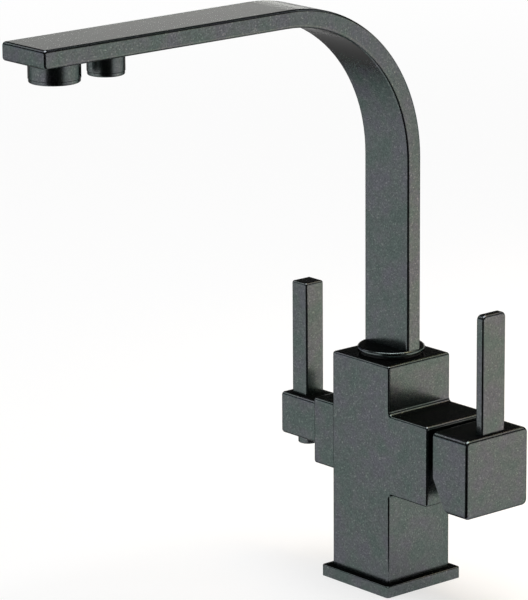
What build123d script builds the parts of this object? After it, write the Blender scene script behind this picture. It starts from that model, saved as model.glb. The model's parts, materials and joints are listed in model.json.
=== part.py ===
from build123d import *
import math
import os

# Three way filtered water tap: square column body, swivelling flat spout with two outlets,
# side mixer lever for hot and cold, and a quarter turn lever for filtered water.
#
# Origin: the centre of the base plate's underside, where it meets the sink deck.
# +Z is up, the spout points to -Y (towards the user), the mixer lever is on +X and the
# filtered water lever on -X. Millimetres.

os.makedirs("parts", exist_ok=True)

# --- fits ---------------------------------------------------------------------------
run_gap = 0.05  # radial gap of a running fit
thread_gap = 0.05  # radial gap of a made-up thread or of a piece pushed home in its seat
loose_gap = 0.3  # gap between pieces that move past each other without touching
end_gap = 0.2  # gap at the end of a piece that is pushed or screwed home
overlap = 1.0  # how far a shape or a cut reaches past the face that it joins or opens

# --- castings -----------------------------------------------------------------------
edge_r = 1.5  # rounding of the outer edges
outline_r = 1.7  # rounding of the outline's outer corners
inner_r = 2.0  # fillet in the inner corners, where an arm meets the column

# --- column, arms and base ----------------------------------------------------------
column_w = 45.0  # square column
column_top = 127.2
plate_w = 53.5  # square base plate
plate_t = 6.3
plate_edge = 0.8
spigot_r = 17.0  # round foot of the column, inside the base plate
spigot_lift = 1.0  # the foot stops this far above the deck
seal_r = 22.0  # rubber ring under the base plate
seal_t = 2.4
seal_w = 3.0
axis_z = 78.3  # both valves lie on this level
mixer_arm_h = 44.2
mixer_arm_end = 52.5
filter_arm_w = 37.2
filter_arm_end = 42.3
filter_arm_drop = 0.8  # arm's centre below the valve's axis

# --- ports in the foot --------------------------------------------------------------
port_circle = 10.5
port_r = 4.5  # M10x1
port_depth = 14.0
stud_r = 3.4  # M8
stud_depth = 16.0
way_r = 2.8  # hot, cold and mixed water ways

# --- swivel joint of the spout ------------------------------------------------------
nipple_r = 12.0
nipple_bore_r = 9.0
nipple_length = 30.0  # below the column's top
chamber_depth = 2.0  # free space under the nipple
glide_t = 1.3
glide_r = 16.5
collar_r = 18.2
collar_t = 2.7
collar_round = 1.25
collar_slot_x = 26.0  # way through the collar, inside the spout's foot
collar_slot_y = 6.6
collar_slot_round = 1.0
groove_depth = 1.4  # locating groove round the nipple
groove_w = 4.4
groove_drop = 15.0  # groove's centre below the column's top
oring_w = 2.0
oring_depth = 1.5
oring_offset = 8.0  # from the locating groove to each ring
retainer_r = 2.5  # M5 screw with a plain tip
retainer_tip_r = 2.0
retainer_hex = 2.5  # across its flats
hex_depth = 2.0  # of every socket screw's hexagon
retainer_tip_length = 1.0  # from the nipple's outer face to the screw's thread
retainer_setback = 0.6  # outer end below the column's back face
nipple_chamfer = 0.6

# --- spout --------------------------------------------------------------------------
spout_w = 34.6
spout_t = 9.7
spout_wall = 1.2
spout_edge_r = 1.7
spout_corner_r = 1.9
spout_setback = 0.9  # the bar stands this far behind the swivel's axis
bend_r = 82.3  # inner face of the bend
bend_fullness = 1.8  # outer face's arc is this much tighter than one about the same centre
spout_top = 326.2
spout_reach = 243.0  # from the swivel's axis to the tip
main_outlet_back = 19.3  # outlet's centre behind the tip
outlet_spacing = 32.2

# --- outlets ------------------------------------------------------------------------
main_outlet_r = 13.25  # holds an M24x1 aerator
main_outlet_h = 10.4
main_rim_h = 1.8
filter_outlet_r = 9.7  # holds an M17x1 aerator
filter_outlet_h = 11.1
filter_rim_h = 1.8
outlet_wall = 1.25
outlet_web = 1.8  # plate between the spout and the aerator
aerator_wall = 1.3
outlet_floor_w = 4.0  # sleeve's floor round the way into the main outlet
washer_t = 1.5
washer_lip = 1.0  # washer reaches this far inside the housing's wall
rim_inset = 0.25  # the aerator's rim is this much smaller than its sleeve
rim_gap = 0.3  # between the sleeve and the rim
rim_round = 0.7
insert_lift = 0.8  # insert's face above the housing's rim
insert_pitches = 3.4  # pitches of the holes from the insert's centre to its edge
insert_hole_share = 0.32  # hole's radius over the pitch

# --- filtered water pipe in the spout -------------------------------------------------
pipe_r = 2.5
pipe_wall = 0.7
pipe_socket_r = 5.4
pipe_socket_length = 18.0
pipe_socket_lift = 6.0  # above the nipple's lower end
pipe_shoulder = 1.0  # wall between the feed pipe's seat and the spout pipe's
socket_ring_at = 3.0
socket_ring_t = 1.0
elbow_wall = 2.0
elbow_bore_rise = 1.0  # end of the elbow's upright bore above the pipe's axis
barb_length = 6.0
barb_wall = 0.6
feed_r = 3.2  # fixed feed pipe in the swivel's centre
feed_bore_r = 1.8
feed_thread_r = 4.0
feed_thread_length = 7.0
feed_end_gap = 0.5  # free space above the feed pipe
feed_way_r = 1.6
feed_way_inset = 0.3  # from the top of the valve's chamber

# --- mixer cartridge, outwards along +X ---------------------------------------------
mixer_seat = 15.3  # floor of the cartridge bore
cartridge_r = 17.5
cartridge_wall = 1.7
seal_lift = 0.2  # gap that the seals bridge
cartridge_base_t = 6.0
fixed_disc_t = 4.0
moving_disc_t = 3.6
moving_disc_r = 12.1
slide_plate_t = 6.0
slide_plate_chamfer = 1.2
guide_flange_t = 3.6
guide_neck_r = 12.6
guide_neck_length = 7.2
shoulder_t = 2.0
disc_port_r = 2.5
disc_port_y = 6.2
disc_inlet_z = 6.0
disc_outlet_z = -3.0
mix_pocket_r = 5.7  # clear of both inlets until the disc has slid up
mix_pocket_depth = 2.2
port_seal_r = 3.9
port_seal_t = 1.2
nut_thread_r = 18.95
nut_bore_r = 13.4
nut_length = 6.0
nut_slot_w = 4.0
nut_slot_depth = 2.0
mixed_way_inset = 0.8  # from the swivel's bore
cover_r = 19.0  # spherical cover round the pivot
cover_wall = 1.2
cover_open_deg = 42.0
stem_w = 7.0
stem_end = 75.2
stem_neck_r = 2.2
stem_ball_r = 2.6
stem_ball_reach = 8.0  # from the pivot to the ball
stem_square_reach = 3.0
ball_gap = 0.25
pivot_pin_r = 2.0
flow_deg = 25.0  # lever's travel from closed to full flow

# --- mixer handle -------------------------------------------------------------------
block_x0 = 56.2
block_x1 = 82.8
block_h = 43.2
block_drop = 0.8  # block's centre below the valve's axis
block_corner_r = 3.2  # its four long edges
block_edge_r = 2.0  # round its outer face
block_wall = 3.0
block_cut_h = 20.0  # lower rear corner cut away, so that the handle can tip
block_cut_x = 11.1
stem_boss_w = 14.0
stem_boss_start = 61.8
handle_screw_r = 2.5  # M5
handle_screw_x = 71.2
handle_screw_length = 10.0
handle_screw_boss_r = 5.0
handle_screw_hex = 2.5  # across its flats
lever_x = 77.0
lever_t = 5.4
lever_w = 16.8
lever_top = 163.9
lever_corner_r = 3.0
lever_edge_r = 1.4
tenon_t = 3.1
tenon_w = 9.0
tenon_depth = 8.0
tenon_boss_wall = 2.5
tenon_floor_t = 1.0

# --- filtered water valve, outwards along -X ----------------------------------------
filter_seat = 24.0  # floor of its bore
valve_chamber_r = 11.0
valve_chamber_length = 9.0
valve_thread_r = 10.45  # G1/2
cage_r = 8.0
cage_lift = 0.6  # above the bore's floor
cage_bore_r = 6.0
cage_window_w = 5.0
cage_window_length = 2.4
seat_seal_t = 2.6
seat_seal_bore_r = 3.4
quarter_disc_t = 2.2
quarter_hole_r = 1.9
quarter_hole_at = 3.2
spindle_r = 4.0
spindle_end = 58.0
spindle_tongue = 2.5
spindle_tongue_length = 3.0
spindle_tongue_inset = 0.5
spindle_shoulder = 1.5
spindle_ring_spots = (2.5, 5.0)  # from the shoulder
spindle_oring_w = 1.6
spindle_oring_depth = 0.8
nose_r = 6.6
nose_end = 49.0
clip_t = 0.8
clip_r = 6.0
clip_mouth = 3.0
clip_groove = 0.6

# --- filtered water handle ----------------------------------------------------------
small_block_start = 45.0
small_block_end = 79.0
small_block_w = 21.0
small_block_h = 23.7
small_block_edge_r = 2.0
small_recess_r = 7.6
small_recess_gap = 0.6  # beyond the spindle's clip
small_lever_at = 67.9
small_lever_x = 12.0
small_lever_y = 13.1
small_lever_top = 153.8
small_lever_edge_r = 1.4
small_stud_r = 2.5  # M5
cap_nut_r = 5.5
cap_nut_h = 5.0
cap_nut_floor = 1.4
cap_nut_round = 0.6
small_screw_r = 2.0  # M4
small_screw_at = 54.5
small_screw_length = 5.0
small_screw_hex = 2.0  # across its flats

# --- worked out from the sizes above --------------------------------------------------
half = column_w / 2
port_xy = port_circle * math.cos(math.radians(45))
nipple_bottom = column_top - nipple_length
chamber_floor = nipple_bottom - chamber_depth
groove_z = column_top - groove_drop
collar_z = column_top + glide_t + run_gap
spout_foot = collar_z + collar_t
spout_under = spout_top - spout_t
spout_front_y = spout_setback - spout_t / 2  # front face of the upright
spout_back_y = spout_front_y + spout_t
bend_y = spout_front_y - bend_r  # centre of the inner face's arc and of the pipe's
bend_z = spout_under - bend_r
outer_bend_r = bend_r + spout_t - bend_fullness
outer_bend_y = spout_back_y - outer_bend_r
outer_bend_z = spout_top - outer_bend_r
pipe_bend_r = -bend_y
pipe_z = bend_z + pipe_bend_r
main_outlet_y = main_outlet_back - spout_reach
filter_outlet_y = main_outlet_y + outlet_spacing
socket_bottom = nipple_bottom + pipe_socket_lift
socket_step = socket_bottom + pipe_socket_length / 2

cartridge_base_x = mixer_seat + seal_lift
fixed_disc_x = cartridge_base_x + cartridge_base_t
moving_disc_x = fixed_disc_x + fixed_disc_t + run_gap
slide_plate_x = moving_disc_x + moving_disc_t
guide_x = slide_plate_x + slide_plate_t + loose_gap
shoulder_x = guide_x + guide_flange_t + run_gap
nut_x = shoulder_x + shoulder_t
pivot_x = nut_x
cover_x = nut_x + nut_length + loose_gap
block_mid_z = axis_z - block_drop
block_z0 = block_mid_z - block_h / 2
block_z1 = block_mid_z + block_h / 2

fixed_quarter = filter_seat + seat_seal_t
moving_quarter = fixed_quarter + quarter_disc_t + run_gap
tongue_at = moving_quarter + quarter_disc_t
shoulder_at = tongue_at + spindle_tongue_length
valve_thread_at = filter_seat + valve_chamber_length + end_gap
filter_arm_z = axis_z - filter_arm_drop
small_block_z0 = axis_z - small_block_h / 2
small_block_z1 = axis_z + small_block_h / 2


def level(z, x=0.0, y=0.0):
    """Horizontal plane that faces up."""
    return Plane(origin=(x, y, z), x_dir=(1, 0, 0), z_dir=(0, 0, 1))


def right(x, y=0.0, z=axis_z):
    """Upright plane that faces +X, with local axes +Y and +Z."""
    return Plane(origin=(x, y, z), x_dir=(0, 1, 0), z_dir=(1, 0, 0))


def left(distance, y=0.0, z=axis_z):
    """Upright plane that faces -X, at this distance left of the column's centre."""
    return Plane(origin=(-distance, y, z), x_dir=(0, -1, 0), z_dir=(-1, 0, 0))


def back(y, x=0.0, z=axis_z):
    """Upright plane that faces +Y."""
    return Plane(origin=(x, y, z), x_dir=(-1, 0, 0), z_dir=(0, 1, 0))


def rod(plane, radius, length, mode=Mode.ADD):
    """Round bar, or a hole when it is subtracted, out of the plane along its normal."""
    with BuildSketch(plane) as section:
        Circle(radius)
    extrude(section.sketch, amount=length, mode=mode)


def ring(plane, outer, inner, length, mode=Mode.ADD):
    """Flat-sided ring standing on the plane."""
    with BuildSketch(plane) as section:
        Circle(outer)
        Circle(inner, mode=Mode.SUBTRACT)
    extrude(section.sketch, amount=length, mode=mode)


def bar(plane, width, height, length, mode=Mode.ADD):
    """Rectangular bar, or a pocket when it is subtracted, out of the plane."""
    with BuildSketch(plane) as section:
        Rectangle(width, height)
    extrude(section.sketch, amount=length, mode=mode)


def socket_screw(plane, radius, length, flats):
    """Headless screw from the plane's origin along its normal, with a hexagon socket at that end."""
    rod(plane, radius, length)
    with BuildSketch(plane) as socket:
        RegularPolygon(flats / 2, 6, major_radius=False)
    extrude(socket.sketch, amount=hex_depth, mode=Mode.SUBTRACT)


def finish(part, name):
    """Labels the piece and writes it out."""
    part.part.label = name
    export_step(part.part, f"parts/{name}.step")


# ====================================================================================
# Fixed pieces: the casting and what is screwed or pushed into it
# ====================================================================================

# Column and mixer arm share one front outline; the filter arm is set back from both faces.
with BuildPart() as body:
    with BuildSketch(Plane.XZ) as outline:
        with Locations((0, (plate_t + column_top) / 2)):
            Rectangle(column_w, column_top - plate_t)
        with Locations((mixer_arm_end / 2, axis_z)):
            Rectangle(mixer_arm_end, mixer_arm_h)
        # A sketch's own Y is the height here
        inner_corners = outline.vertices().filter_by(
            lambda v: abs(v.X - half) < 0.01 and abs(v.Y - axis_z) < mixer_arm_h / 2 + 0.01
        )
        fillet(inner_corners, inner_r)
        outer_corners = outline.vertices().filter_by(
            lambda v: v.Y > column_top - 0.01 or v.X > mixer_arm_end - 0.01
        )
        fillet(outer_corners, outline_r)
    extrude(amount=half, both=True)
    face_edges = body.faces().filter_by(Axis.Y).edges()
    fillet(face_edges.filter_by(lambda e: e.center().Z > plate_t + 0.01), edge_r)

    with BuildSketch(left(half - inner_r, 0, filter_arm_z)):
        RectangleRounded(filter_arm_w, filter_arm_w, outline_r)
    extrude(amount=filter_arm_end - half + inner_r)
    fillet(body.faces().sort_by(Axis.X)[0].edges(), edge_r)
    junction = body.edges().filter_by(
        lambda e: abs(e.center().X + half) < 0.01
        and abs(e.center().Z - filter_arm_z) < filter_arm_w / 2 + 0.01
        and abs(e.center().Y) < filter_arm_w / 2 + 0.01
    )
    fillet(junction, inner_r)

    # Foot, with the three inlets and the fixing stud's thread
    rod(level(spigot_lift), spigot_r, plate_t - spigot_lift + overlap)
    for port_x, port_y in ((port_xy, port_xy), (port_xy, -port_xy), (-port_xy, -port_xy)):
        rod(level(spigot_lift, port_x, port_y), port_r, port_depth, Mode.SUBTRACT)
    rod(level(spigot_lift, -port_xy, port_xy), stud_r, stud_depth, Mode.SUBTRACT)

    # Bore of the mixer cartridge, its thread, and the hot, cold and mixed ways
    rod(right(mixer_seat), cartridge_r + thread_gap, nut_x - mixer_seat, Mode.SUBTRACT)
    rod(right(nut_x), nut_thread_r + thread_gap, mixer_arm_end - nut_x, Mode.SUBTRACT)
    for side in (-1, 1):
        inlet_z = axis_z + disc_inlet_z
        way_bottom = spigot_lift + port_depth
        rod(level(way_bottom, port_xy, side * port_xy), way_r, inlet_z - way_bottom, Mode.SUBTRACT)
        seat_way = right(port_xy, side * disc_port_y, inlet_z)
        rod(seat_way, disc_port_r, mixer_seat - port_xy, Mode.SUBTRACT)
    mixed_x = nipple_r - way_r - mixed_way_inset
    mixed_z = axis_z + disc_outlet_z
    rod(right(mixed_x, 0, mixed_z), disc_port_r, mixer_seat - mixed_x, Mode.SUBTRACT)
    rod(level(mixed_z, mixed_x), way_r, chamber_floor - mixed_z, Mode.SUBTRACT)

    # Bore of the swivel joint, its retaining screw and the feed pipe's thread
    rod(level(chamber_floor), nipple_r + run_gap, column_top - chamber_floor, Mode.SUBTRACT)
    rod(back(0, 0, groove_z), retainer_r + thread_gap, half, Mode.SUBTRACT)
    rod(level(chamber_floor - feed_thread_length), feed_thread_r, feed_thread_length, Mode.SUBTRACT)

    # Bore of the filtered water valve, its slanting inlet way and the way up to the feed pipe
    rod(left(filter_seat), valve_chamber_r, valve_chamber_length, Mode.SUBTRACT)
    thread_length = filter_arm_end - filter_seat - valve_chamber_length
    rod(
        left(filter_seat + valve_chamber_length),
        valve_thread_r + thread_gap,
        thread_length,
        Mode.SUBTRACT,
    )
    inlet_turn = filter_seat - 2 * seat_seal_bore_r
    rod(left(inlet_turn), seat_seal_bore_r, filter_seat - inlet_turn, Mode.SUBTRACT)
    port_end = Vector(-port_xy, -port_xy, spigot_lift + port_depth - overlap)
    slant = Vector(-inlet_turn - overlap, 0, axis_z) - port_end
    rod(Plane(origin=port_end, z_dir=slant), way_r, slant.length, Mode.SUBTRACT)
    crown_z = axis_z + valve_chamber_r - feed_way_r - feed_way_inset
    rod(left(0, 0, crown_z), feed_way_r, filter_seat, Mode.SUBTRACT)
    rod(level(crown_z), feed_way_r, chamber_floor - crown_z, Mode.SUBTRACT)
finish(body, "body")

with BuildPart() as base_plate:
    with BuildSketch():
        RectangleRounded(plate_w, plate_w, outline_r)
    extrude(amount=plate_t)
    fillet(base_plate.faces().sort_by(Axis.Z)[-1].edges(), plate_edge)
    rod(level(0), spigot_r + thread_gap, plate_t, Mode.SUBTRACT)
    ring(level(0), seal_r + thread_gap, seal_r - seal_w - thread_gap, seal_t, Mode.SUBTRACT)
finish(base_plate, "base_plate")

with BuildPart() as base_seal:
    ring(level(0), seal_r, seal_r - seal_w, seal_t)
finish(base_seal, "base_seal")

with BuildPart() as glide_ring:
    ring(level(column_top), glide_r, nipple_r + run_gap, glide_t)
finish(glide_ring, "glide_ring")

# Screw with a plain tip that stands in the nipple's groove, so the spout turns but can't lift
with BuildPart() as retaining_screw:
    tip_start = nipple_r - groove_depth + loose_gap
    thread_start = nipple_r + retainer_tip_length
    screw_end = half - retainer_setback
    from_behind = Plane(origin=(0, screw_end, groove_z), x_dir=(1, 0, 0), z_dir=(0, -1, 0))
    socket_screw(from_behind, retainer_r, screw_end - thread_start, retainer_hex)
    rod(back(tip_start, 0, groove_z), retainer_tip_r, thread_start - tip_start)
finish(retaining_screw, "spout_retaining_screw")

# Feed pipe for filtered water in the centre of the swivel joint
with BuildPart() as feed_pipe:
    rod(level(chamber_floor - feed_thread_length), feed_thread_r - thread_gap, feed_thread_length)
    rod(level(chamber_floor), feed_r, socket_step - feed_end_gap - chamber_floor)
    pipe_length = socket_step - chamber_floor + feed_thread_length
    rod(level(chamber_floor - feed_thread_length), feed_bore_r, pipe_length, Mode.SUBTRACT)
finish(feed_pipe, "filter_feed_pipe")

# ====================================================================================
# Mixer cartridge
# ====================================================================================

disc_ports = [
    (-disc_port_y, disc_inlet_z),
    (disc_port_y, disc_inlet_z),
    (0, disc_outlet_z),
]
housing_bore_r = cartridge_r - cartridge_wall
inner_disc_r = housing_bore_r - thread_gap


def port_rings(x, length):
    """A seal round each of the three ports."""
    for y, z in disc_ports:
        ring(right(x, y, axis_z + z), port_seal_r, disc_port_r, length)


with BuildPart() as cartridge_base:
    rod(right(cartridge_base_x), inner_disc_r, cartridge_base_t)
    rod(right(cartridge_base_x), cartridge_r, cartridge_wall)
    for y, z in disc_ports:
        rod(right(cartridge_base_x, y, axis_z + z), disc_port_r, cartridge_base_t, Mode.SUBTRACT)
        pocket_depth = port_seal_t - seal_lift
        rod(right(cartridge_base_x, y, axis_z + z), port_seal_r, pocket_depth, Mode.SUBTRACT)
        far_pocket = right(fixed_disc_x - port_seal_t, y, axis_z + z)
        rod(far_pocket, port_seal_r, port_seal_t, Mode.SUBTRACT)
finish(cartridge_base, "cartridge_base")

with BuildPart() as inlet_seals:
    port_rings(mixer_seat, port_seal_t)
finish(inlet_seals, "cartridge_inlet_seals")

with BuildPart() as disc_seals:
    port_rings(fixed_disc_x - port_seal_t, port_seal_t)
finish(disc_seals, "cartridge_disc_seals")

with BuildPart() as fixed_disc:
    rod(right(fixed_disc_x), inner_disc_r, fixed_disc_t)
    for y, z in disc_ports:
        rod(right(fixed_disc_x, y, axis_z + z), disc_port_r, fixed_disc_t, Mode.SUBTRACT)
finish(fixed_disc, "mixer_fixed_disc")

with BuildPart() as moving_disc:
    rod(right(moving_disc_x), moving_disc_r, moving_disc_t)
    rod(right(moving_disc_x), mix_pocket_r, mix_pocket_depth, Mode.SUBTRACT)
finish(moving_disc, "mixer_moving_disc")

# Plate that carries the moving disc; the stem's ball shifts it up and down
ball_x = pivot_x - stem_ball_reach
ball_fit_r = stem_ball_r + ball_gap
with BuildPart() as slide_plate:
    rod(right(slide_plate_x), moving_disc_r, slide_plate_t)
    plate_face = slide_plate_x + slide_plate_t
    socket_floor = ball_x - ball_fit_r
    rod(right(socket_floor), ball_fit_r, plate_face - socket_floor, Mode.SUBTRACT)
    mouth = slide_plate.faces().sort_by(Axis.X)[-1].edges().sort_by(SortBy.LENGTH)[0]
    chamfer(mouth, slide_plate_chamfer)
finish(slide_plate, "mixer_slide_plate")

housing_x = cartridge_base_x + cartridge_wall + thread_gap
with BuildPart() as housing:
    rod(right(housing_x), cartridge_r, nut_x - housing_x)
    rod(right(housing_x), housing_bore_r, shoulder_x - housing_x, Mode.SUBTRACT)
    rod(right(shoulder_x), guide_neck_r + run_gap, shoulder_t, Mode.SUBTRACT)
finish(housing, "cartridge_housing")

# Rotor that turns with the lever for temperature and carries the stem's pivot pin
with BuildPart() as stem_guide:
    rod(right(guide_x), housing_bore_r - run_gap, guide_flange_t)
    rod(right(guide_x + guide_flange_t), guide_neck_r, guide_neck_length)
    slot_w = stem_w + 2 * run_gap
    tilt = math.radians(flow_deg)
    outer_reach = guide_x + guide_flange_t + guide_neck_length - pivot_x
    slot_high = stem_w / 2 / math.cos(tilt) + loose_gap
    slot_low = outer_reach * math.tan(tilt) + slot_high
    inner_reach = pivot_x - guide_x
    inner_high = stem_ball_reach * math.sin(tilt) + stem_ball_r + loose_gap
    outer_slot = right(pivot_x, 0, axis_z + (slot_high - slot_low) / 2)
    bar(outer_slot, slot_w, slot_high + slot_low, outer_reach, Mode.SUBTRACT)
    inner_slot = right(guide_x, 0, axis_z + (inner_high - slot_high) / 2)
    bar(inner_slot, slot_w, inner_high + slot_high, inner_reach, Mode.SUBTRACT)
    pin_length = 2 * (math.sqrt(guide_neck_r**2 - pivot_pin_r**2) - loose_gap)
    pin_plane = back(-pin_length / 2, pivot_x, axis_z)
    rod(pin_plane, pivot_pin_r + thread_gap / 2, pin_length, Mode.SUBTRACT)
finish(stem_guide, "temperature_rotor")

with BuildPart() as pivot_pin:
    rod(pin_plane, pivot_pin_r, pin_length)
finish(pivot_pin, "stem_pivot_pin")

with BuildPart() as nut:
    ring(right(nut_x), nut_thread_r, nut_bore_r, nut_length)
    with BuildSketch(right(nut_x + nut_length)):
        with PolarLocations((nut_thread_r + nut_bore_r) / 2, 4):
            Rectangle(nut_thread_r - nut_bore_r + overlap, nut_slot_w)
    extrude(amount=-nut_slot_depth, mode=Mode.SUBTRACT)
finish(nut, "cartridge_nut")

# Cover ring: a threaded skirt inside the arm and a spherical cap centred on the pivot
with BuildPart() as cover:
    cap_inner = cover_r - cover_wall
    open_angle = math.radians(cover_open_deg)
    lip_angle = math.acos((mixer_arm_end - pivot_x) / cover_r)
    root_angle = math.acos((mixer_arm_end - cover_wall - pivot_x) / cap_inner)

    def on_cap(radius, angle):
        """Point of the cap's section at this angle from the valve's axis."""
        return (pivot_x + radius * math.cos(angle), axis_z + radius * math.sin(angle))

    skirt_top = axis_z + nut_thread_r
    skirt_under = skirt_top - cover_wall
    with BuildSketch(Plane.XZ):
        with BuildLine():
            Polyline((cover_x, skirt_under), (cover_x, skirt_top), (mixer_arm_end, skirt_top),
                     on_cap(cover_r, lip_angle))
            ThreePointArc(on_cap(cover_r, lip_angle), on_cap(cover_r, (lip_angle + open_angle) / 2),
                          on_cap(cover_r, open_angle))
            Line(on_cap(cover_r, open_angle), on_cap(cap_inner, open_angle))
            ThreePointArc(on_cap(cap_inner, open_angle),
                          on_cap(cap_inner, (root_angle + open_angle) / 2),
                          on_cap(cap_inner, root_angle))
            Polyline(on_cap(cap_inner, root_angle), (mixer_arm_end - cover_wall, skirt_under),
                     (cover_x, skirt_under))
        make_face()
    revolve(axis=Axis((0, 0, axis_z), (1, 0, 0)))
finish(cover, "cartridge_cover")

# ====================================================================================
# Mixer handle
# ====================================================================================

with BuildPart() as stem:
    square_start = pivot_x - stem_square_reach
    bar(right(square_start), stem_w, stem_w, stem_end - square_start)
    rod(right(ball_x), stem_neck_r, square_start - ball_x)
    with Locations((ball_x, 0, axis_z)):
        Sphere(stem_ball_r)
    rod(back(-stem_w / 2, pivot_x, axis_z), pivot_pin_r + run_gap, stem_w, Mode.SUBTRACT)
finish(stem, "cartridge_stem")

tenon_floor = block_z1 - tenon_depth
with BuildPart() as handle_block:
    with BuildSketch(Plane.XZ):
        with BuildLine():
            Polyline(
                (block_x0, block_z0 + block_cut_h),
                (block_x0, block_z1),
                (block_x1, block_z1),
                (block_x1, block_z0),
                (block_x0 + block_cut_x, block_z0),
                close=True,
            )
        make_face()
    extrude(amount=half, both=True)
    fillet(handle_block.edges().filter_by(Axis.X), block_corner_r)
    fillet(handle_block.faces().sort_by(Axis.X)[-1].edges(), block_edge_r)
    fillet(handle_block.faces().sort_by(Axis.X)[0].edges(), edge_r)

    # Hollow, open towards the arm
    cavity_end = block_x1 - block_wall
    bar(
        right(block_x0 - overlap, 0, block_mid_z),
        column_w - 2 * block_wall,
        block_h - 2 * block_wall,
        cavity_end - block_x0 + overlap,
        Mode.SUBTRACT,
    )
    # Bosses for the stem, the screw that clamps it and the lever's tenon
    bar(right(stem_boss_start), stem_boss_w, stem_boss_w, cavity_end - stem_boss_start)
    rod(level(block_z0 + block_wall, handle_screw_x), handle_screw_boss_r,
        axis_z - stem_boss_w / 2 - block_z0 - block_wall)
    tenon_boss_t = tenon_t + 2 * tenon_boss_wall
    tenon_boss_w = tenon_w + 2 * tenon_boss_wall
    tenon_boss_h = block_z1 - block_wall - tenon_floor + tenon_floor_t
    bar(level(tenon_floor - tenon_floor_t, lever_x), tenon_boss_t, tenon_boss_w, tenon_boss_h)
    socket_w = stem_w + 2 * thread_gap
    socket_depth = stem_end + end_gap - stem_boss_start
    bar(right(stem_boss_start), socket_w, socket_w, socket_depth, Mode.SUBTRACT)
    rod(level(block_z0, handle_screw_x), handle_screw_r + thread_gap,
        axis_z - stem_w / 2 - block_z0, Mode.SUBTRACT)
    bar(level(tenon_floor, lever_x), tenon_t + 2 * thread_gap, tenon_w + 2 * thread_gap,
        tenon_depth, Mode.SUBTRACT)
finish(handle_block, "handle_block")

with BuildPart() as handle_lever:
    lever_z = (block_z1 + lever_top) / 2
    with BuildSketch(right(lever_x - lever_t / 2, 0, lever_z)) as lever_face:
        Rectangle(lever_w, lever_top - block_z1)
        fillet(lever_face.vertices().group_by(Axis.Y)[-1], lever_corner_r)
    extrude(amount=lever_t)
    flat_edges = handle_lever.faces().filter_by(Axis.X).edges()
    fillet(flat_edges.filter_by(lambda e: e.center().Z > block_z1 + 0.01), lever_edge_r)
    bar(level(tenon_floor + thread_gap, lever_x), tenon_t, tenon_w, tenon_depth - thread_gap)
finish(handle_lever, "handle_lever")


with BuildPart() as handle_screw:
    screw_z = axis_z - stem_w / 2 - handle_screw_length
    screw_start = level(screw_z, handle_screw_x)
    socket_screw(screw_start, handle_screw_r, handle_screw_length, handle_screw_hex)
finish(handle_screw, "handle_clamp_screw")

# ====================================================================================
# Filtered water valve
# ====================================================================================

with BuildPart() as valve_body:
    cage_start = filter_seat + cage_lift
    thread_end = filter_arm_end - end_gap
    ring(left(cage_start), cage_r, cage_bore_r, valve_thread_at - cage_start)
    rod(left(valve_thread_at), valve_thread_r, thread_end - valve_thread_at)
    rod(left(thread_end), nose_r, nose_end - thread_end)
    shoulder_end = shoulder_at + spindle_shoulder + run_gap
    rod(left(valve_thread_at), cage_bore_r, shoulder_end - valve_thread_at, Mode.SUBTRACT)
    rod(left(valve_thread_at), spindle_r + run_gap, nose_end - valve_thread_at, Mode.SUBTRACT)
    window_start = valve_thread_at - cage_window_length
    window_span = 2 * (cage_r + overlap)
    bar(left(window_start), window_span, cage_window_w, cage_window_length, Mode.SUBTRACT)
    bar(left(window_start), cage_window_w, window_span, cage_window_length, Mode.SUBTRACT)
finish(valve_body, "filter_valve_body")

quarter_disc_r = cage_bore_r - run_gap
with BuildPart() as seat_seal:
    ring(left(filter_seat), quarter_disc_r, seat_seal_bore_r, seat_seal_t)
finish(seat_seal, "filter_seat_seal")

with BuildPart() as quarter_fixed:
    rod(left(fixed_quarter), quarter_disc_r, quarter_disc_t)
    for side in (-1, 1):
        hole = left(fixed_quarter, side * quarter_hole_at)
        rod(hole, quarter_hole_r, quarter_disc_t, Mode.SUBTRACT)
finish(quarter_fixed, "filter_fixed_disc")

with BuildPart() as quarter_moving:
    rod(left(moving_quarter), quarter_disc_r, quarter_disc_t)
    for side in (-1, 1):
        hole = left(moving_quarter, 0, axis_z + side * quarter_hole_at)
        rod(hole, quarter_hole_r, quarter_disc_t, Mode.SUBTRACT)
finish(quarter_moving, "filter_moving_disc")

clip_at = nose_end + end_gap
clip_bore_r = spindle_r - clip_groove
spindle_rings = [shoulder_at + spindle_shoulder + spot for spot in spindle_ring_spots]
with BuildPart() as spindle:
    tongue_w = 2 * (cage_bore_r - spindle_tongue_inset)
    bar(left(tongue_at), tongue_w, spindle_tongue, spindle_tongue_length)
    rod(left(shoulder_at), cage_bore_r - loose_gap, spindle_shoulder)
    stem_start = shoulder_at + spindle_shoulder
    rod(left(stem_start), spindle_r, spindle_end - stem_start)
    for at in spindle_rings:
        ring_floor_r = spindle_r - spindle_oring_depth
        ring(left(at), spindle_r + overlap, ring_floor_r, spindle_oring_w, Mode.SUBTRACT)
    ring(left(clip_at), spindle_r + overlap, clip_bore_r, clip_t + 2 * run_gap, Mode.SUBTRACT)
finish(spindle, "filter_spindle")

with BuildPart() as spindle_orings:
    for at in spindle_rings:
        ring(left(at), spindle_r, spindle_r - spindle_oring_depth, spindle_oring_w)
finish(spindle_orings, "filter_spindle_orings")

with BuildPart() as spindle_clip:
    ring(left(clip_at + run_gap), clip_r, clip_bore_r + thread_gap, clip_t)
    bar(left(clip_at, 0, axis_z + clip_r), clip_mouth, 2 * clip_r, clip_t + overlap, Mode.SUBTRACT)
finish(spindle_clip, "filter_spindle_clip")

# ====================================================================================
# Filtered water handle
# ====================================================================================

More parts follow.
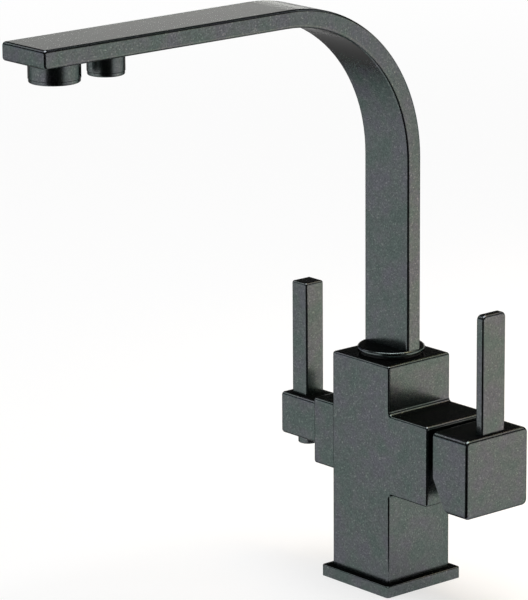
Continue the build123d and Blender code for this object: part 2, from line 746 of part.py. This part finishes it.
with BuildPart() as small_block:
    block_length = small_block_end - small_block_start
    bar(left(small_block_start), small_block_w, small_block_h, block_length)
    fillet(small_block.edges(), small_block_edge_r)
    recess_end = clip_at + clip_t + small_recess_gap
    rod(left(small_block_start), small_recess_r, recess_end - small_block_start, Mode.SUBTRACT)
    spline_end = spindle_end + loose_gap
    rod(left(recess_end), spindle_r + thread_gap, spline_end - recess_end, Mode.SUBTRACT)
    stud_hole = level(small_block_z0, -small_lever_at)
    rod(stud_hole, small_stud_r + thread_gap, small_block_h, Mode.SUBTRACT)
    screw_hole = back(0, -small_screw_at)
    rod(screw_hole, small_screw_r + thread_gap, small_block_w / 2, Mode.SUBTRACT)
finish(small_block, "filter_handle_block")

with BuildPart() as small_lever:
    bar(level(small_block_z1, -small_lever_at), small_lever_x, small_lever_y,
        small_lever_top - small_block_z1)
    fillet(small_lever.edges().filter_by(lambda e: e.center().Z > small_block_z1 + 0.01),
           small_lever_edge_r)
    stud_end = small_block_z0 - cap_nut_h + cap_nut_floor + end_gap
    rod(level(stud_end, -small_lever_at), small_stud_r, small_block_z1 - stud_end)
finish(small_lever, "filter_lever")

with BuildPart() as cap_nut:
    rod(level(small_block_z0 - cap_nut_h, -small_lever_at), cap_nut_r, cap_nut_h)
    fillet(cap_nut.faces().sort_by(Axis.Z)[0].edges(), cap_nut_round)
    rod(level(small_block_z0 - cap_nut_h + cap_nut_floor, -small_lever_at),
        small_stud_r + thread_gap, cap_nut_h - cap_nut_floor, Mode.SUBTRACT)
finish(cap_nut, "filter_lever_cap_nut")

with BuildPart() as small_screw:
    screw_face = spindle_r + small_screw_length
    screw_plane = Plane(origin=(-small_screw_at, screw_face, axis_z), x_dir=(1, 0, 0), z_dir=(0, -1, 0))
    socket_screw(screw_plane, small_screw_r, small_screw_length, small_screw_hex)
finish(small_screw, "filter_handle_screw")

# ====================================================================================
# Spout
# ====================================================================================


def spout_section(inset, foot, tip, corner_r):
    """Side outline of the bent bar, drawn this far inside its outer faces."""
    inner = bend_r + inset
    outer = outer_bend_r - inset
    near_y = bend_y + inner
    far_y = outer_bend_y + outer
    low_z = bend_z + inner
    high_z = outer_bend_z + outer
    slope = math.cos(math.radians(45))
    inner_middle = (bend_y + inner * slope, bend_z + inner * slope)
    outer_middle = (outer_bend_y + outer * slope, outer_bend_z + outer * slope)
    with BuildSketch(Plane.YZ) as section:
        with BuildLine():
            Line((near_y, foot), (near_y, bend_z))
            ThreePointArc((near_y, bend_z), inner_middle, (bend_y, low_z))
            Polyline((bend_y, low_z), (tip, low_z), (tip, high_z), (outer_bend_y, high_z))
            ThreePointArc((outer_bend_y, high_z), outer_middle, (far_y, outer_bend_z))
            Polyline((far_y, outer_bend_z), (far_y, foot), (near_y, foot))
        make_face()
        if corner_r > 0:
            fillet(section.vertices().group_by(Axis.X)[0], corner_r)
    return section.sketch


with BuildPart() as spout:
    outer_section = spout_section(0, spout_foot, -spout_reach, spout_corner_r)
    extrude(outer_section, amount=spout_w / 2, both=True)
    side_edges = spout.faces().filter_by(Axis.X).edges()
    fillet(side_edges.filter_by(lambda e: e.center().Z > spout_foot + 0.01), spout_edge_r)
    inner_section = spout_section(spout_wall, spout_foot, -spout_reach + spout_wall, 0)
    extrude(inner_section, amount=spout_w / 2 - spout_wall, both=True, mode=Mode.SUBTRACT)
    main_hole_r = main_outlet_r - outlet_wall - outlet_floor_w
    rod(level(spout_under, 0, main_outlet_y), main_hole_r, spout_wall, Mode.SUBTRACT)
    rod(level(spout_under, 0, filter_outlet_y), pipe_r + thread_gap, spout_wall, Mode.SUBTRACT)
finish(spout, "spout")

with BuildPart() as collar:
    rod(level(collar_z), collar_r, collar_t)
    rim_edges = collar.edges().filter_by(GeomType.CIRCLE).sort_by(SortBy.RADIUS)[-2:]
    fillet(rim_edges, collar_round)
    with BuildSketch(level(collar_z)):
        Circle(nipple_bore_r)
        RectangleRounded(collar_slot_x, collar_slot_y, collar_slot_round, mode=Mode.INTERSECT)
    extrude(amount=collar_t, mode=Mode.SUBTRACT)
finish(collar, "spout_collar")

ring_starts = [groove_z + side * oring_offset - oring_w / 2 for side in (-1, 1)]
with BuildPart() as nipple:
    ring(level(nipple_bottom), nipple_r, nipple_bore_r, collar_z - nipple_bottom)
    lower_edge = nipple.faces().sort_by(Axis.Z)[0].edges().sort_by(SortBy.RADIUS)[-1]
    chamfer(lower_edge, nipple_chamfer)
    groove = level(groove_z - groove_w / 2)
    ring(groove, nipple_r + overlap, nipple_r - groove_depth, groove_w, Mode.SUBTRACT)
    for start in ring_starts:
        ring(level(start), nipple_r + overlap, nipple_r - oring_depth, oring_w, Mode.SUBTRACT)
finish(nipple, "spout_nipple")

with BuildPart() as nipple_orings:
    for start in ring_starts:
        ring(level(start), nipple_r, nipple_r - oring_depth, oring_w)
finish(nipple_orings, "spout_orings")

# Socket that turns on the feed pipe and holds the pipe in the spout
socket_top = socket_bottom + pipe_socket_length
with BuildPart() as pipe_socket:
    rod(level(socket_bottom), pipe_socket_r, pipe_socket_length)
    rod(level(socket_bottom), feed_bore_r, pipe_socket_length, Mode.SUBTRACT)
    rod(level(socket_bottom), feed_r + run_gap, socket_step - socket_bottom, Mode.SUBTRACT)
    pipe_start = socket_step + pipe_shoulder
    rod(level(pipe_start), pipe_r + thread_gap, socket_top - pipe_start, Mode.SUBTRACT)
    seal_at = socket_bottom + socket_ring_at
    seal_groove_r = feed_r + run_gap + socket_ring_t
    rod(level(seal_at), seal_groove_r, oring_w, Mode.SUBTRACT)
finish(pipe_socket, "filter_pipe_socket")

with BuildPart() as socket_seal:
    ring(level(seal_at), seal_groove_r, feed_r + run_gap, oring_w)
finish(socket_seal, "filter_socket_oring")

# Filtered water pipe: up the column of the spout, round its bend and along to the outlet
elbow_r = pipe_r + elbow_wall
pipe_end_y = filter_outlet_y + elbow_r + thread_gap
middle_slope = pipe_bend_r * math.cos(math.radians(45))
with BuildPart() as filter_pipe:
    with BuildLine(Plane.YZ):
        Line((0, pipe_start), (0, bend_z))
        pipe_middle = (bend_y + middle_slope, bend_z + middle_slope)
        ThreePointArc((0, bend_z), pipe_middle, (bend_y, pipe_z))
        Line((bend_y, pipe_z), (pipe_end_y, pipe_z))
    with BuildSketch(level(pipe_start)):
        Circle(pipe_r)
        Circle(pipe_r - pipe_wall, mode=Mode.SUBTRACT)
    sweep()
finish(filter_pipe, "filter_pipe")

# Elbow at the pipe's end; its spout goes down through the wall into the outlet sleeve
with BuildPart() as elbow:
    elbow_floor = spout_under + spout_wall
    elbow_height = spout_t - 2 * spout_wall - loose_gap
    rod(level(elbow_floor, 0, filter_outlet_y), elbow_r, elbow_height)
    drop_length = spout_wall + outlet_web
    rod(level(elbow_floor - drop_length, 0, filter_outlet_y), pipe_r, drop_length)
    barb_r = pipe_r - pipe_wall - thread_gap
    rod(back(filter_outlet_y, 0, pipe_z), barb_r, elbow_r + barb_length)
    drop_bore_r = pipe_r - pipe_wall
    barb_bore_r = barb_r - barb_wall
    rod(back(filter_outlet_y, 0, pipe_z), barb_bore_r, elbow_r + barb_length, Mode.SUBTRACT)
    drop_bore_top = pipe_z + elbow_bore_rise - elbow_floor + drop_length
    rod(level(elbow_floor - drop_length, 0, filter_outlet_y), drop_bore_r, drop_bore_top,
        Mode.SUBTRACT)
finish(elbow, "filter_outlet_elbow")


def outlet_sleeve(y, radius, height, rim_h, hole_r):
    """Sleeve fixed under the spout; it is open below, for the aerator."""
    sleeve_h = height - rim_h - rim_gap
    rod(level(spout_under - sleeve_h, 0, y), radius, sleeve_h)
    thread_depth = sleeve_h - outlet_web
    rod(level(spout_under - sleeve_h, 0, y), radius - outlet_wall, thread_depth, Mode.SUBTRACT)
    rod(level(spout_under - outlet_web, 0, y), hole_r, outlet_web, Mode.SUBTRACT)


def aerator_housing(part, y, radius, height, rim_h):
    """Threaded housing with a rim that shows below the sleeve."""
    bottom = spout_under - height
    thread_r = radius - outlet_wall - thread_gap
    top = spout_under - outlet_web - washer_t
    rod(level(bottom, 0, y), radius - rim_inset, rim_h)
    fillet(part.faces().sort_by(Axis.Z)[0].edges(), rim_round)
    rod(level(bottom, 0, y), thread_r, top - bottom)
    rod(level(bottom, 0, y), thread_r - aerator_wall, top - bottom, Mode.SUBTRACT)


def aerator_insert(y, radius, height):
    """Perforated plastic insert inside the housing."""
    bottom = spout_under - height + insert_lift
    insert_r = radius - outlet_wall - 2 * thread_gap - aerator_wall
    top = spout_under - outlet_web - washer_t
    rod(level(bottom, 0, y), insert_r, top - bottom)
    pitch = insert_r / insert_pitches
    with BuildSketch(level(bottom, 0, y)) as holes:
        for count, turn in ((1, 0), (6, pitch), (12, 2 * pitch)):
            with PolarLocations(turn, count):
                Circle(pitch * insert_hole_share)
    extrude(holes.sketch, amount=top - bottom, mode=Mode.SUBTRACT)


def aerator_washer(y, radius):
    """Rubber ring between the housing and the sleeve's floor."""
    outer = radius - outlet_wall - thread_gap
    inner = outer - aerator_wall - washer_lip
    ring(level(spout_under - outlet_web - washer_t, 0, y), outer, inner, washer_t)


with BuildPart() as main_sleeve:
    outlet_sleeve(main_outlet_y, main_outlet_r, main_outlet_h, main_rim_h, main_hole_r)
finish(main_sleeve, "main_outlet_sleeve")

with BuildPart() as main_housing:
    aerator_housing(main_housing, main_outlet_y, main_outlet_r, main_outlet_h, main_rim_h)
finish(main_housing, "main_aerator_housing")

with BuildPart() as main_insert:
    aerator_insert(main_outlet_y, main_outlet_r, main_outlet_h)
finish(main_insert, "main_aerator_insert")

with BuildPart() as main_washer:
    aerator_washer(main_outlet_y, main_outlet_r)
finish(main_washer, "main_aerator_washer")

with BuildPart() as filter_sleeve:
    sleeve_hole_r = pipe_r + thread_gap
    outlet_sleeve(filter_outlet_y, filter_outlet_r, filter_outlet_h, filter_rim_h, sleeve_hole_r)
finish(filter_sleeve, "filter_outlet_sleeve")

with BuildPart() as filter_housing:
    aerator_housing(filter_housing, filter_outlet_y, filter_outlet_r, filter_outlet_h, filter_rim_h)
finish(filter_housing, "filter_aerator_housing")

with BuildPart() as filter_insert:
    aerator_insert(filter_outlet_y, filter_outlet_r, filter_outlet_h)
finish(filter_insert, "filter_aerator_insert")

with BuildPart() as filter_washer:
    aerator_washer(filter_outlet_y, filter_outlet_r)
finish(filter_washer, "filter_aerator_washer")
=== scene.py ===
import json
import math

import bpy
from mathutils import Matrix, Vector


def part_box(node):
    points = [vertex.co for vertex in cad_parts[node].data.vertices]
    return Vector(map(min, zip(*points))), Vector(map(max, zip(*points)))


# Looks of the three way filtered water tap: finishes, studio light, floor and camera.
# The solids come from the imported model, in metres: +Z up, the spout points to -Y, the mixer
# lever is on +X and the filtered water lever on -X.

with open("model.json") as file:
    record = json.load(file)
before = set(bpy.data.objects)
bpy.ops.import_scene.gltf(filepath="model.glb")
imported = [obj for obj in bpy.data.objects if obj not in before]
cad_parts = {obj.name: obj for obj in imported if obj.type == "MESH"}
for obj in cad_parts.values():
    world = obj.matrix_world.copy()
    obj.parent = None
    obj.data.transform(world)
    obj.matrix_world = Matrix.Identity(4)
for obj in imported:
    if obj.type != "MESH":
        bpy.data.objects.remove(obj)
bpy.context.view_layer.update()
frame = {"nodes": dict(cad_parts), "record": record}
MM = 0.001


# --- camera ---------------------------------------------------------------------------
CAMERA_AT = Vector((1.49743, -1.37078, 0.69156))
CAMERA_AIM = Vector((-0.04440, -0.05167, 0.15619))  # on the lens's axis, level with the column
CAMERA_ROLL = math.radians(-0.41)
LENS = 235.09  # for the picture's height on a 36 mm sensor


def make_camera():
    data = bpy.data.cameras.new("camera")
    data.lens = LENS
    data.sensor_width = 36.0
    camera = bpy.data.objects.new("camera", data)
    bpy.context.scene.collection.objects.link(camera)
    turn = (CAMERA_AIM - CAMERA_AT).to_track_quat("-Z", "Y").to_matrix().to_4x4()
    camera.matrix_world = Matrix.Translation(CAMERA_AT) @ turn @ Matrix.Rotation(CAMERA_ROLL, 4, "Z")
    bpy.context.scene.camera = camera


# --- colours and nodes ------------------------------------------------------------------
def linear(hex_colour):
    """An sRGB colour such as "#1c1d1e" as linear red, green, blue and alpha."""
    parts = [int(hex_colour[i:i + 2], 16) / 255 for i in (1, 3, 5)]
    return [c / 12.92 if c <= 0.04045 else ((c + 0.055) / 1.055) ** 2.4 for c in parts] + [1.0]


def add(tree, kind, settings=None, **inputs):
    """Adds a node, sets its properties and fills its inputs with values or with other nodes' outputs."""
    node = tree.nodes.new("ShaderNode" + kind)
    for name, value in (settings or {}).items():
        setattr(node, name, value)
    for name, value in inputs.items():
        key = int(name[1:]) if name[0] == "_" else name.replace("_", " ")
        socket = node.inputs[key]
        if isinstance(value, bpy.types.NodeSocket):
            tree.links.new(value, socket)
        else:
            socket.default_value = value
    return node


def new_material(name):
    material = bpy.data.materials.new(name)
    material.use_nodes = True
    material.node_tree.nodes.clear()
    return material


def ramp(tree, value, stops):
    """Colours along a value from 0 to 1."""
    node = add(tree, "ValToRGB", Fac=value)
    band = node.color_ramp
    while len(band.elements) < len(stops):
        band.elements.new(0.5)
    for element, (at, colour) in zip(band.elements, stops):
        element.position = at
        element.color = linear(colour)
    return node.outputs["Color"]


NOISE_LOW = 0.35  # nearly all of the noise lies between these two
NOISE_HIGH = 0.65
NOISE_ROUGH = 0.55


def grain(tree, place, size, detail=3.0):
    """Noise whose spots are about this large."""
    noise = add(tree, "TexNoise", Vector=place, Scale=1 / size, Detail=detail, Roughness=NOISE_ROUGH)
    return noise.outputs["Fac"]


def shade(tree, noise, low, high):
    """Noise as a number between two others."""
    spread = add(tree, "MapRange", Value=noise, From_Min=NOISE_LOW, From_Max=NOISE_HIGH, To_Min=low,
                 To_Max=high)
    return spread.outputs[0]


def step(tree, value, degrees, low, high):
    """Soft step between two angles."""
    return add(tree, "MapRange", {"interpolation_type": "SMOOTHSTEP"}, Value=value,
               From_Min=math.radians(degrees[0]), From_Max=math.radians(degrees[1]),
               To_Min=low, To_Max=high).outputs[0]


def times(tree, one, other):
    return add(tree, "Math", {"operation": "MULTIPLY"}, _0=one, _1=other).outputs[0]


def larger(tree, one, other):
    return add(tree, "Math", {"operation": "MAXIMUM"}, _0=one, _1=other).outputs[0]


def shell(tree, **inputs):
    """The surface shader with these inputs, joined to the material's output."""
    surface = add(tree, "BsdfPrincipled", **inputs)
    add(tree, "OutputMaterial", Surface=surface.outputs["BSDF"])


# --- black glitter paint ----------------------------------------------------------------
# Stoved black lacquer with fine metal flake on brass castings: charcoal where it mirrors
# something bright, near black on top, with faint specks and a thin clear coat. Seen at a slant
# the flake layer goes dark and only the coat is left.
FLAKE = 0.62 * MM  # the real flake is about 0.1 mm, which is too fine to show
CLOUD = 14.0 * MM  # faint drift of the lacquer's tint between green and violet
FLAKE_TONES = (
    (0.0, "#505656"),
    (0.5, "#5a6161"),
    (0.88, "#626869"),
    (0.96, "#6a706f"),
    (1.0, "#7a807d"),
)
DRIFT = ((0.36, "#eaf6f0"), (0.5, "#f9f9f9"), (0.64, "#fdf3ff"))
PAINT_ROUGH = 0.25
COAT_SHARE = 0.2
COAT_ROUGH = 0.09
AT_A_SLANT = (0.0, 0.0, 0.0, 1.0)


def glitter_paint():
    material = new_material("black_glitter_stoving_lacquer")
    tree = material.node_tree
    place = add(tree, "TexCoord").outputs["Object"]
    flakes = add(tree, "TexVoronoi", Vector=place, Scale=1 / FLAKE, Randomness=1.0)
    split = add(tree, "SeparateColor", Color=flakes.outputs["Color"])
    tone = ramp(tree, split.outputs["Red"], FLAKE_TONES)
    drift = ramp(tree, grain(tree, place, CLOUD, 2.0), DRIFT)
    tinted = add(tree, "Mix", {"data_type": "RGBA", "blend_type": "MULTIPLY"}, _0=1.0, _6=tone, _7=drift)
    shell(tree, Base_Color=tinted.outputs[2], Metallic=1.0, Roughness=PAINT_ROUGH,
          Specular_Tint=AT_A_SLANT, Coat_Weight=COAT_SHARE, Coat_Roughness=COAT_ROUGH)
    return material


# --- turned metal -------------------------------------------------------------------------
# Lathe marks are rings round the piece, so the noise is fine along the piece's axis and long
# across it. Real marks are about 0.1 mm apart, drawn coarser so that they show.
TURNING_PITCH = 0.3 * MM
TURNING_LENGTH = 12.0 * MM
TURNING_DEPTH = 0.01 * MM
STAIN = 4.0 * MM


def turned(name, axis, stops, rough):
    """Metal off the lathe: rings round the axis, over soft stains."""
    material = new_material(f"{name}_{'xyz'[axis]}")
    tree = material.node_tree
    place = add(tree, "TexCoord").outputs["Object"]
    pitch = [1 / TURNING_LENGTH] * 3
    pitch[axis] = 1 / TURNING_PITCH
    stretched = add(tree, "Mapping", Vector=place, Scale=pitch).outputs["Vector"]
    marks = grain(tree, stretched, 1.0, 2.0)
    stain = grain(tree, place, STAIN)
    normal = add(tree, "Bump", Height=marks, Distance=TURNING_DEPTH).outputs["Normal"]
    shell(tree, Base_Color=ramp(tree, stain, stops), Metallic=1.0,
          Roughness=shade(tree, marks, *rough), Normal=normal)
    return material


def turned_steel(axis):
    # Plain stainless steel: pale neutral grey, with soft streaks from the lathe
    stops = ((NOISE_LOW, "#bcbbb7"), (NOISE_HIGH, "#c9c8c4"))
    return turned("turned_stainless_steel", axis, stops, rough=(0.24, 0.38))


def turned_brass(axis):
    # Free cutting brass: warm yellow, duller and browner in patches where hands and water were
    stops = ((0.3, "#b98f52"), (0.5, "#cfa765"), (0.7, "#d8b474"))
    return turned("turned_brass", axis, stops, rough=(0.22, 0.40))


# --- ceramic, rubber and plastics -----------------------------------------------------------
SKIN_FINENESS = 8  # the skin's spots are this many times smaller than the tint's


def moulded(name, stops, spot, rough, depth, **more):
    """Dull to satin solid: tint and gloss drift with one noise, over a fine skin of another."""
    material = new_material(name)
    tree = material.node_tree
    place = add(tree, "TexCoord").outputs["Object"]
    drift = grain(tree, place, spot)
    skin = grain(tree, place, spot / SKIN_FINENESS)
    normal = add(tree, "Bump", Height=skin, Distance=depth).outputs["Normal"]
    shell(tree, Base_Color=ramp(tree, drift, stops), Roughness=shade(tree, drift, *rough),
          Normal=normal, **more)
    return material


def lapped_ceramic():
    # Alumina ground flat: ivory white, faintly speckled, with an even satin gloss
    stops = ((NOISE_LOW, "#e9e5da"), (NOISE_HIGH, "#f2efe6"))
    return moulded("lapped_alumina", stops, spot=1.6 * MM, rough=(0.16, 0.24), depth=0.002 * MM,
                   IOR=1.76)


def seal_rubber():
    # EPDM seals: matt black, with a thin grey bloom in patches
    stops = ((NOISE_LOW, "#151516"), (NOISE_HIGH, "#232425"))
    return moulded("black_epdm_rubber", stops, spot=2.4 * MM, rough=(0.62, 0.82), depth=0.02 * MM,
                   IOR=1.52)


def white_plastic():
    # Acetal, injection moulded: milk white and waxy, light passes a little way into it
    stops = ((NOISE_LOW, "#e4e3de"), (NOISE_HIGH, "#efeeea"))
    return moulded("white_acetal", stops, spot=3.0 * MM, rough=(0.32, 0.44), depth=0.008 * MM,
                   IOR=1.48, Subsurface_Weight=0.15, Subsurface_Scale=0.6 * MM)


def grey_plastic():
    # Glass filled nylon, injection moulded: mid grey with faint paler swirls of glass
    stops = ((NOISE_LOW, "#868988"), (NOISE_HIGH, "#9b9e9c"))
    return moulded("grey_glass_filled_nylon", stops, spot=2.0 * MM, rough=(0.42, 0.58),
                   depth=0.012 * MM, IOR=1.53)


def black_plastic():
    # Acetal coloured black: satin, smooth where the collar runs on it
    stops = ((NOISE_LOW, "#0f1011"), (NOISE_HIGH, "#191a1b"))
    return moulded("black_acetal", stops, spot=2.0 * MM, rough=(0.34, 0.46), depth=0.008 * MM,
                   IOR=1.48)


def pipe_plastic():
    # Extruded polyethylene pipe: cloudy white, soft satin skin, light passes into it
    stops = ((NOISE_LOW, "#d9dedd"), (NOISE_HIGH, "#e7eae9"))
    return moulded("cloudy_polyethylene", stops, spot=5.0 * MM, rough=(0.38, 0.5), depth=0.01 * MM,
                   IOR=1.51, Subsurface_Weight=0.3, Subsurface_Scale=1.5 * MM)


TURNED_FINISHES = {
    "steel": turned_steel,
    "brass": turned_brass,
}
FINISHES = {
    "black_paint": glitter_paint,
    "ceramic": lapped_ceramic,
    "seal_rubber": seal_rubber,
    "white_plastic": white_plastic,
    "grey_plastic": grey_plastic,
    "black_plastic": black_plastic,
    "pipe_plastic": pipe_plastic,
}


def round_axis(name):
    """The axis that a round piece was turned about: the other two sides of its box are most alike."""
    low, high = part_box(name)
    size = high - low
    unlike = [abs(size[1] - size[2]), abs(size[0] - size[2]), abs(size[0] - size[1])]
    return unlike.index(min(unlike))


def finish_pieces():
    """Every piece gets the finish of its slot; a turned metal has one material per axis."""
    made = {}
    for piece in frame["record"]["subparts"]:
        slot = piece["material_slot"]
        axis = round_axis(piece["node"]) if slot in TURNED_FINISHES else None
        if (slot, axis) not in made:
            made[slot, axis] = FINISHES[slot]() if axis is None else TURNED_FINISHES[slot](axis)
        frame["nodes"][piece["node"]].material_slots[0].material = made[slot, axis]


# --- floor and black card -----------------------------------------------------------------
FLOOR_SIZE = 60.0
FLOOR_COLOUR = "#f9f9f9"
NEAR_GLOW = 0.68  # share of plain white near the tap, where the floor keeps the tap's shadow
GLOW_REACH = (0.7, 2.0)  # from here to here the floor turns all white
CARD_START = (-82.0, -72.0)  # degrees from +X; the card fades in and out between these
CARD_END = (-14.0, 6.0)
CARD_NEAR = 0.06
CARD_FAR = 20.0  # far enough to lie under the whole horizon that the outlets mirror
CARD_LIFT = 0.5 * MM
CARD_TONE = "#1a1b1b"


def direction(azimuth, elevation=0.0):
    """Unit vector towards this azimuth from +X and this height above the horizon, in degrees."""
    turn = math.radians(azimuth)
    rise = math.radians(elevation)
    return Vector((math.cos(turn) * math.cos(rise), math.sin(turn) * math.cos(rise), math.sin(rise)))


def make_floor():
    bpy.ops.mesh.primitive_plane_add(size=FLOOR_SIZE, location=(0, 0, 0))
    floor = bpy.context.object
    floor.name = "floor"
    material = new_material("white_floor")
    tree = material.node_tree
    place = add(tree, "TexCoord").outputs["Object"]
    away = add(tree, "VectorMath", {"operation": "LENGTH"}, _0=place).outputs["Value"]
    glow = add(tree, "MapRange", {"interpolation_type": "SMOOTHSTEP"}, Value=away, From_Min=GLOW_REACH[0],
               From_Max=GLOW_REACH[1], To_Min=NEAR_GLOW, To_Max=1.0).outputs[0]
    path = add(tree, "LightPath").outputs
    seen = larger(tree, path["Is Camera Ray"], path["Is Glossy Ray"])
    seen = larger(tree, seen, path["Is Transmission Ray"])
    lit = add(tree, "BsdfDiffuse", Color=linear(FLOOR_COLOUR))
    white = add(tree, "Emission", Color=(1.0, 1.0, 1.0, 1.0), Strength=1.0)
    both = add(tree, "MixShader", _0=times(tree, seen, glow), _1=lit.outputs[0], _2=white.outputs[0])
    add(tree, "OutputMaterial", Surface=both.outputs[0])
    floor.data.materials.append(material)


def make_card():
    """Black card on the floor, from the tap's foot towards the camera; only reflections show it."""
    bpy.ops.mesh.primitive_circle_add(vertices=3, radius=1.0, fill_type="NGON")
    card = bpy.context.object
    card.name = "black_card"
    sides = (CARD_START[0], CARD_END[1])
    near = direction(sum(sides) / 2) * CARD_NEAR
    corners = [near] + [near + direction(side) * CARD_FAR for side in sides]
    for vertex, corner in zip(card.data.vertices, corners):
        vertex.co = (corner.x, corner.y, CARD_LIFT)
    material = new_material("black_card")
    tree = material.node_tree
    place = add(tree, "SeparateXYZ", Vector=add(tree, "TexCoord").outputs["Object"]).outputs
    turn = add(tree, "Math", {"operation": "ARCTAN2"}, _0=place["Y"], _1=place["X"]).outputs[0]
    cover = times(tree, step(tree, turn, CARD_START, 0.0, 1.0), step(tree, turn, CARD_END, 1.0, 0.0))
    dull = add(tree, "Emission", Color=linear(CARD_TONE), Strength=1.0)
    clear = add(tree, "BsdfTransparent")
    faded = add(tree, "MixShader", _0=cover, _1=clear.outputs[0], _2=dull.outputs[0])
    add(tree, "OutputMaterial", Surface=faded.outputs[0])
    card.data.materials.append(material)
    card.visible_camera = False
    card.visible_diffuse = False
    card.visible_shadow = False


# --- light ------------------------------------------------------------------------------
BAND_TOP = (11.0, 13.5)  # a pale strip runs round the studio and fades out here, in degrees
GAP_START = (-77.0, -73.0)  # the strip is left out on the camera's side, between these two
GAP_END = (-14.0, 3.0)
COOL_STRIP = (0.92, 1.0, 1.05, 1.0)
WARM_STRIP = (1.35, 1.28, 1.12, 1.0)
WARM_AT = 44.0
REAR_STRIP = 2.2  # how much brighter the strip is behind the tap
REAR_AT = 138.0
REAR_REACH = (0.55, 0.95)  # cosine of the angle from there
DARK_ROOM = (0.015, 0.015, 0.015, 1.0)
TARGET = Vector((0.0, 0.0, 0.15))


def make_world():
    world = bpy.data.worlds.new("studio")
    bpy.context.scene.world = world
    world.use_nodes = True
    tree = world.node_tree
    tree.nodes.clear()
    toward = add(tree, "SeparateXYZ", Vector=add(tree, "TexCoord").outputs["Generated"]).outputs
    rise = add(tree, "Math", {"operation": "ARCSINE"}, _0=toward["Z"]).outputs[0]
    turn = add(tree, "Math", {"operation": "ARCTAN2"}, _0=toward["Y"], _1=toward["X"]).outputs[0]

    def toward_side(azimuth, reach, high):
        """Rises from 0 to this value as the direction nears the azimuth."""
        aside = add(tree, "Math", {"operation": "SUBTRACT"}, _0=turn, _1=math.radians(azimuth)).outputs[0]
        near = add(tree, "Math", {"operation": "COSINE"}, _0=aside).outputs[0]
        return add(tree, "MapRange", Value=near, From_Min=reach[0], From_Max=reach[1], To_Min=0.0,
                   To_Max=high).outputs[0]

    in_gap = times(tree, step(tree, turn, GAP_START, 0.0, 1.0), step(tree, turn, GAP_END, 1.0, 0.0))
    outside_gap = add(tree, "Math", {"operation": "SUBTRACT"}, _0=1.0, _1=in_gap).outputs[0]
    band = times(tree, step(tree, rise, BAND_TOP, 1.0, 0.0), outside_gap)
    warm = toward_side(WARM_AT, (-1.0, 1.0), 1.0)
    strip = add(tree, "Mix", {"data_type": "RGBA"}, _0=warm, _6=COOL_STRIP, _7=WARM_STRIP).outputs[2]
    lit = add(tree, "Mix", {"data_type": "RGBA"}, _0=band, _6=DARK_ROOM, _7=strip).outputs[2]
    rear = times(tree, toward_side(REAR_AT, REAR_REACH, REAR_STRIP), band)
    strength = add(tree, "Math", {"operation": "ADD"}, _0=rear, _1=1.0).outputs[0]
    background = add(tree, "Background", Color=lit, Strength=strength)
    add(tree, "OutputWorld", Surface=background.outputs["Background"])


def softbox(name, power, size, at, aim, tint=(1.0, 1.0, 1.0), spread=180.0):
    data = bpy.data.lights.new(name, "AREA")
    data.shape = "RECTANGLE"
    data.size, data.size_y = size
    data.energy = power
    data.color = tint
    data.spread = math.radians(spread)
    lamp = bpy.data.objects.new(name, data)
    lamp.location = at
    lamp.rotation_euler = (Vector(aim) - Vector(at)).to_track_quat("-Z", "Y").to_euler()
    bpy.context.scene.collection.objects.link(lamp)


CEILING = 165.0  # watts, as the other three
CEILING_SIZE = (3.0, 3.0)
CEILING_AT = Vector((0.0, 0.0, 4.0))
SIDE_SIZE = (0.5, 0.5)
SIDE_DISTANCE = 1.6
LEFT = 1.3
LEFT_AT = direction(-160.0, 41.0) * SIDE_DISTANCE
RIGHT = 0.8
RIGHT_AT = direction(69.0, 46.0) * SIDE_DISTANCE
BOUNCE = 6.5
BOUNCE_SIZE = (1.3, 0.7)
BOUNCE_AT = Vector((0.54, 0.52, 0.6))
BOUNCE_TINT = (1.0, 0.76, 0.46)
BOUNCE_SPREAD = 84.0


def make_lamps():
    softbox("ceiling_softbox", CEILING, CEILING_SIZE, CEILING_AT, TARGET)
    softbox("left_softbox", LEFT, SIDE_SIZE, LEFT_AT, TARGET)
    softbox("right_softbox", RIGHT, SIDE_SIZE, RIGHT_AT, TARGET)
    # Warms the floor beyond the tap's right side, which those faces mirror
    below = (BOUNCE_AT.x, BOUNCE_AT.y, 0.0)
    softbox("bounce_softbox", BOUNCE, BOUNCE_SIZE, BOUNCE_AT, below, BOUNCE_TINT, BOUNCE_SPREAD)


make_camera()
bpy.context.scene.view_settings.view_transform = "Standard"
finish_pieces()
make_floor()
make_card()
make_world()
make_lamps()
